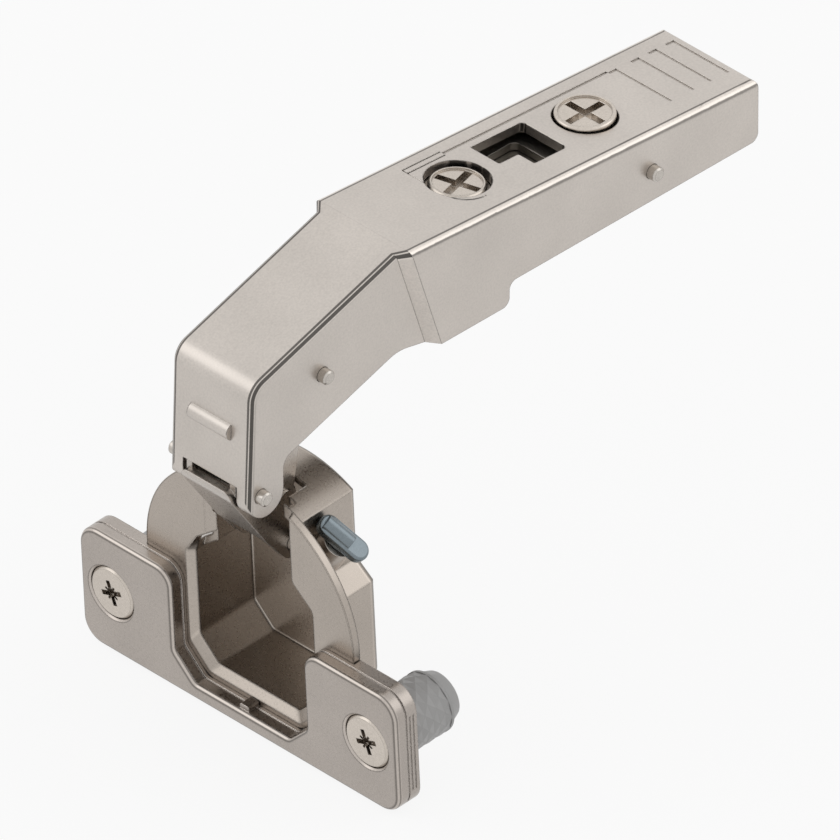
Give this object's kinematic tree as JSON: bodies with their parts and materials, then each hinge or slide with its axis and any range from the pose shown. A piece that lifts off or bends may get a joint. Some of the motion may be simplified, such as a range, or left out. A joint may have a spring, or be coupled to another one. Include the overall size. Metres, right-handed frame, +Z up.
{
  "type": "concealed hinge",
  "caption": "Angled clip-on concealed cabinet hinge, open, with a cup, wing plate with dowels, four-bar levers and adjusting screws.",
  "frame": {"origin": "seat face under the clip housing's web, above the mounting plate, in the hinge's middle plane", "axes": "+X along the arm to its rear end, +Y across the arm, +Z up from the mounting plate"},
  "size_m": [0.0889, 0.056, 0.0655],
  "materials": {
    "nickel_arm": "nickel plated, satin",
    "nickel_cup": "nickel plated, drawn",
    "nickel_plate": "nickel plated, satin",
    "zinc_inner": "zinc plated",
    "steel_pin": "bright",
    "nickel_lever": "nickel plated",
    "spring_steel": "oiled wire",
    "nickel_screw": "nickel plated, turned",
    "grey_dowel": "moulded, knurled",
    "blue_zinc": "satin, bluish grey",
    "light_plastic": "moulded",
    "dark_plastic": "moulded"
  },
  "bodies": {
    "mount_clip": {"clip_housing": "zinc_inner", "release_pin": "steel_pin"},
    "release": {"release_lever": "zinc_inner", "release_spring": "spring_steel"},
    "adjuster": {"adjuster_plate": "zinc_inner"},
    "cam": {"depth_cam": "nickel_screw"},
    "arm": {"arm_channel": "nickel_arm", "rear_pin": "steel_pin", "pin_a": "steel_pin", "pin_b": "steel_pin", "closing_spring": "spring_steel"},
    "tilt_screw": {"side_screw": "nickel_screw"},
    "outer_link": {"outer_lever": "nickel_lever"},
    "inner_link": {"inner_lever": "nickel_lever", "pin_d": "steel_pin"},
    "cup": {"cup_shell": "nickel_cup", "pin_c": "steel_pin", "wing_plate": "nickel_plate", "dowel_near": "grey_dowel", "dowel_far": "grey_dowel", "switch_boss": "light_plastic", "damper_body": "light_plastic", "damper_spring": "spring_steel"},
    "near_screw": {"wing_screw_near": "nickel_screw"},
    "far_screw": {"wing_screw_far": "nickel_screw"},
    "switch": {"switch_lever": "blue_zinc"},
    "slider": {"damper_slider": "dark_plastic"}
  },
  "joints": [
    {"name": "depth_slide", "type": "slide", "parent": "mount_clip", "child": "adjuster", "axis": [1, 0, 0], "range_m": [-0.00193, 0.00193]},
    {"name": "cam_turn", "type": "hinge", "parent": "adjuster", "child": "cam", "pos_m": [0.01111, 0, 0.00459], "axis": [0, 0, 1], "range_deg": [-41, 41]},
    {"name": "arm_tilt", "type": "hinge", "parent": "adjuster", "child": "arm", "pos_m": [0.01446, 0, -0.00131], "axis": [0, 1, 0], "range_deg": [-1.5, 1.5]},
    {"name": "side_screw_turn", "type": "hinge", "parent": "arm", "child": "tilt_screw", "pos_m": [-0.01134, 0, 0.00608], "axis": [0.0663, 0, 0.9978], "range_deg": [-361, 361]},
    {"name": "release_pull", "type": "hinge", "parent": "mount_clip", "child": "release", "pos_m": [0.0228, 0, -0.002], "axis": [0, 1, 0], "range_deg": [-8, 0], "stiffness_Nm_per_rad": 0.05},
    {"name": "outer_swing", "type": "hinge", "parent": "arm", "child": "outer_link", "pos_m": [-0.05295, 0, -0.0178], "axis": [0, 1, 0], "range_deg": [-41, 0.1]},
    {"name": "inner_swing", "type": "hinge", "parent": "arm", "child": "inner_link", "pos_m": [-0.0421, 0, -0.00475], "axis": [0, 1, 0], "range_deg": [-40, 0.1]},
    {"name": "cup_turn", "type": "hinge", "parent": "outer_link", "child": "cup", "pos_m": [-0.0444, 0, -0.03039], "axis": [0, 1, 0], "range_deg": [0, 133.95]},
    {"name": "near_screw_turn", "type": "hinge", "parent": "cup", "child": "near_screw", "pos_m": [-0.05, -0.0225, -0.04905], "axis": [0.9985, 0, 0.0539], "range_deg": [-180, 180]},
    {"name": "far_screw_turn", "type": "hinge", "parent": "cup", "child": "far_screw", "pos_m": [-0.05, 0.0225, -0.04905], "axis": [0.9985, 0, 0.0539], "range_deg": [-180, 180]},
    {"name": "switch_turn", "type": "hinge", "parent": "cup", "child": "switch", "pos_m": [-0.04296, -0.01122, -0.02731], "axis": [-0.0391, -0.6884, 0.7243], "range_deg": [0, 35]},
    {"name": "slider_push", "type": "slide", "parent": "cup", "child": "slider", "axis": [0.0539, 0, -0.9985], "range_m": [0, 0.0024], "stiffness_N_per_m": 200, "deforming": ["damper_spring"]}
  ],
  "couplings": [
    {"joint": "cam_turn", "follows": "depth_slide", "rad_per_m": -362.03},
    {"joint": "side_screw_turn", "follows": "arm_tilt", "ratio": 240},
    {"joint": "outer_swing", "follows": "cup_turn", "ratio": -0.30502},
    {"joint": "inner_swing", "follows": "cup_turn", "ratio": -0.29638}
  ]
}
